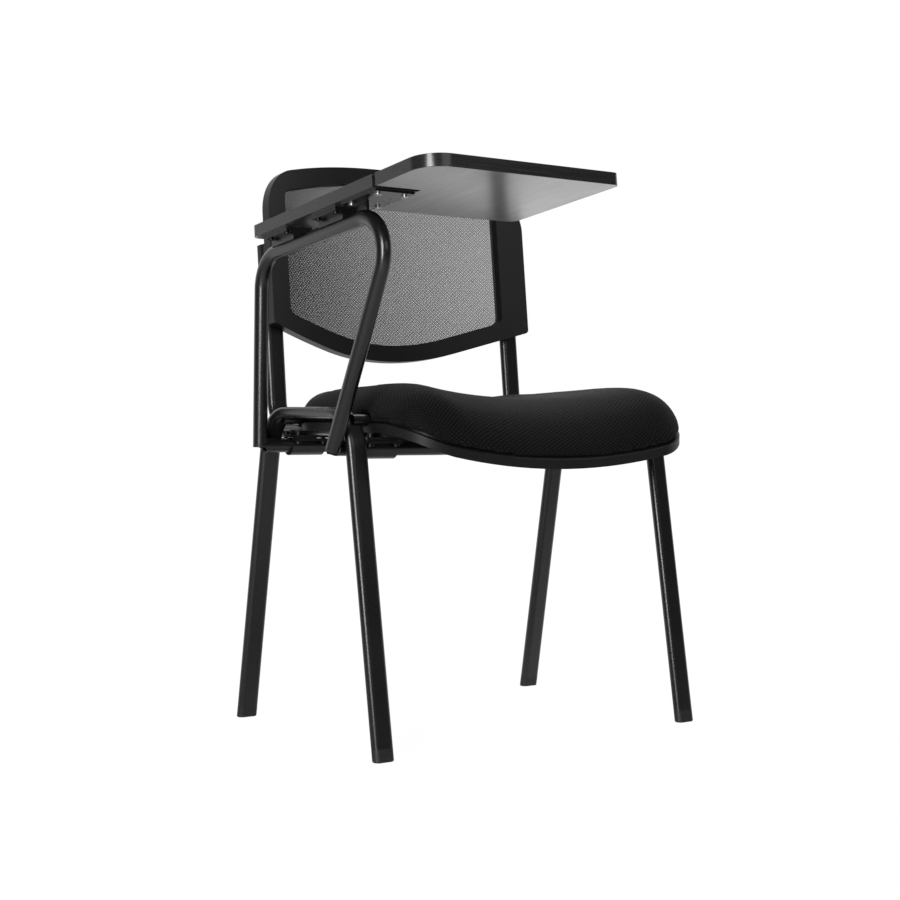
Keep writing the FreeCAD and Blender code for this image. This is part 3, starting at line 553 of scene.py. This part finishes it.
def make_world():
    """White backdrop for the camera and for mirrored rays that leave behind the chair, dim elsewhere."""
    world = bpy.data.worlds.new("studio")
    SCENE.world = world
    world.use_nodes = True
    nodes = world.node_tree.nodes
    links = world.node_tree.links
    out = nodes["World Output"]
    dim = nodes["Background"]
    coordinates = nodes.new("ShaderNodeTexCoord")
    facing = nodes.new("ShaderNodeVectorMath")
    facing.operation = "DOT_PRODUCT"
    facing.inputs[1].default_value = BEHIND_CHAIR
    links.new(coordinates.outputs["Generated"], facing.inputs[0])
    ramp = nodes.new("ShaderNodeValToRGB")
    ramp.color_ramp.elements[0].position = 0.56
    ramp.color_ramp.elements[0].color = (0.05, 0.05, 0.05, 1.0)
    ramp.color_ramp.elements[1].position = 0.88
    ramp.color_ramp.elements[1].color = (0.95, 0.95, 0.95, 1.0)
    half = nodes.new("ShaderNodeMath")
    half.operation = "MULTIPLY_ADD"
    half.inputs[1].default_value = 0.5
    half.inputs[2].default_value = 0.5
    links.new(facing.outputs["Value"], half.inputs[0])
    links.new(half.outputs[0], ramp.inputs["Fac"])
    links.new(ramp.outputs["Color"], dim.inputs["Color"])
    dim.inputs["Strength"].default_value = 1.0
    white = nodes.new("ShaderNodeBackground")
    white.inputs["Color"].default_value = (1.0, 1.0, 1.0, 1.0)
    white.inputs["Strength"].default_value = 1.0
    path = nodes.new("ShaderNodeLightPath")
    seen = nodes.new("ShaderNodeMath")
    seen.operation = "MAXIMUM"
    links.new(path.outputs["Is Camera Ray"], seen.inputs[0])
    links.new(path.outputs["Is Transmission Ray"], seen.inputs[1])
    mirrored = nodes.new("ShaderNodeMath")
    mirrored.operation = "MULTIPLY"
    links.new(path.outputs["Is Glossy Ray"], mirrored.inputs[0])
    links.new(ramp.outputs["Color"], mirrored.inputs[1])
    either = nodes.new("ShaderNodeMath")
    either.operation = "MAXIMUM"
    links.new(seen.outputs[0], either.inputs[0])
    links.new(mirrored.outputs[0], either.inputs[1])
    mix = nodes.new("ShaderNodeMixShader")
    links.new(either.outputs[0], mix.inputs["Fac"])
    links.new(dim.outputs[0], mix.inputs[1])
    links.new(white.outputs[0], mix.inputs[2])
    links.new(mix.outputs[0], out.inputs["Surface"])


def make_floor():
    """A pale floor that reads as white to the camera and keeps a faint shadow."""
    size = FLOOR_HALF
    mesh = bpy.data.meshes.new("floor")
    corners = [(-size, -size, 0), (size, -size, 0), (size, size, 0), (-size, size, 0)]
    mesh.from_pydata(corners, [], [(0, 1, 2, 3)])
    floor = bpy.data.objects.new("floor", mesh)
    SCENE.collection.objects.link(floor)
    tree = Tree("floor_pale")
    tree.set(Base_Color=FLOOR_COLOUR, Roughness=0.8)
    glow = tree.add("ShaderNodeEmission")
    glow.inputs["Strength"].default_value = FLOOR_GLOW
    path = tree.add("ShaderNodeLightPath")
    seen = tree.math("MAXIMUM", path.outputs["Is Camera Ray"], path.outputs["Is Transmission Ray"])
    behind = tree.add("ShaderNodeVectorMath", operation="DOT_PRODUCT")
    behind.inputs[1].default_value = BEHIND_CHAIR
    tree.join(tree.place(), behind.inputs[0])
    far = tree.ramp(behind.outputs["Value"], 0.0, 0.6, 0.0, 1.0)
    mirrored = tree.math("MULTIPLY", path.outputs["Is Glossy Ray"], far)
    seen = tree.math("MAXIMUM", seen, mirrored)
    away = tree.add("ShaderNodeVectorMath", operation="LENGTH")
    tree.join(tree.place((0.4, 0.4, 0.4)), away.inputs[0])
    share = tree.math("MULTIPLY", seen, tree.ramp(away.outputs["Value"], 0.2, 0.6, 0.94, 1.0))
    mix = tree.add("ShaderNodeMixShader")
    tree.join(share, mix.inputs["Fac"])
    tree.join(tree.shader.outputs[0], mix.inputs[1])
    tree.join(glow.outputs[0], mix.inputs[2])
    tree.join(mix.outputs[0], tree.output.inputs["Surface"])
    mesh.materials.append(tree.material)


def make_camera():
    yaw = math.radians(CAMERA_YAW)
    pitch = math.radians(CAMERA_PITCH)
    roll = math.radians(CAMERA_ROLL)
    ahead = Vector((math.sin(yaw) * math.cos(pitch), math.cos(yaw) * math.cos(pitch), -math.sin(pitch)))
    right = Vector((math.cos(yaw), -math.sin(yaw), 0))
    up = right.cross(ahead)
    right_rolled = right * math.cos(roll) - up * math.sin(roll)
    up_rolled = right * math.sin(roll) + up * math.cos(roll)
    data = bpy.data.cameras.new("camera")
    data.lens = CAMERA_LENS
    data.sensor_width = CAMERA_SENSOR
    data.clip_end = 100.0
    camera = bpy.data.objects.new("camera", data)
    turn = Matrix((right_rolled, up_rolled, -ahead)).transposed()
    camera.matrix_world = Matrix.Translation(CAMERA_AT) @ turn.to_4x4()
    SCENE.collection.objects.link(camera)
    SCENE.camera = camera


dress_nodes()
for edged, roundness in SOFT_EDGES.items():
    soften(edged, roundness)
make_net()
make_pad()
make_world()
make_floor()
make_camera()
light("key_left", (-2.3, -1.7, 1.25), (0.0, 0.0, 0.6), 70.0, 0.8, 1.6)
light("fill_front", (0.2, -2.6, 1.9), (0.0, 0.0, 0.5), 9.0, 1.6, 1.2)
light("top", (0.3, 0.3, 2.6), (0.0, 0.0, 0.5), 22.0, 1.8, 1.8)
SCENE.view_settings.view_transform = "Standard"
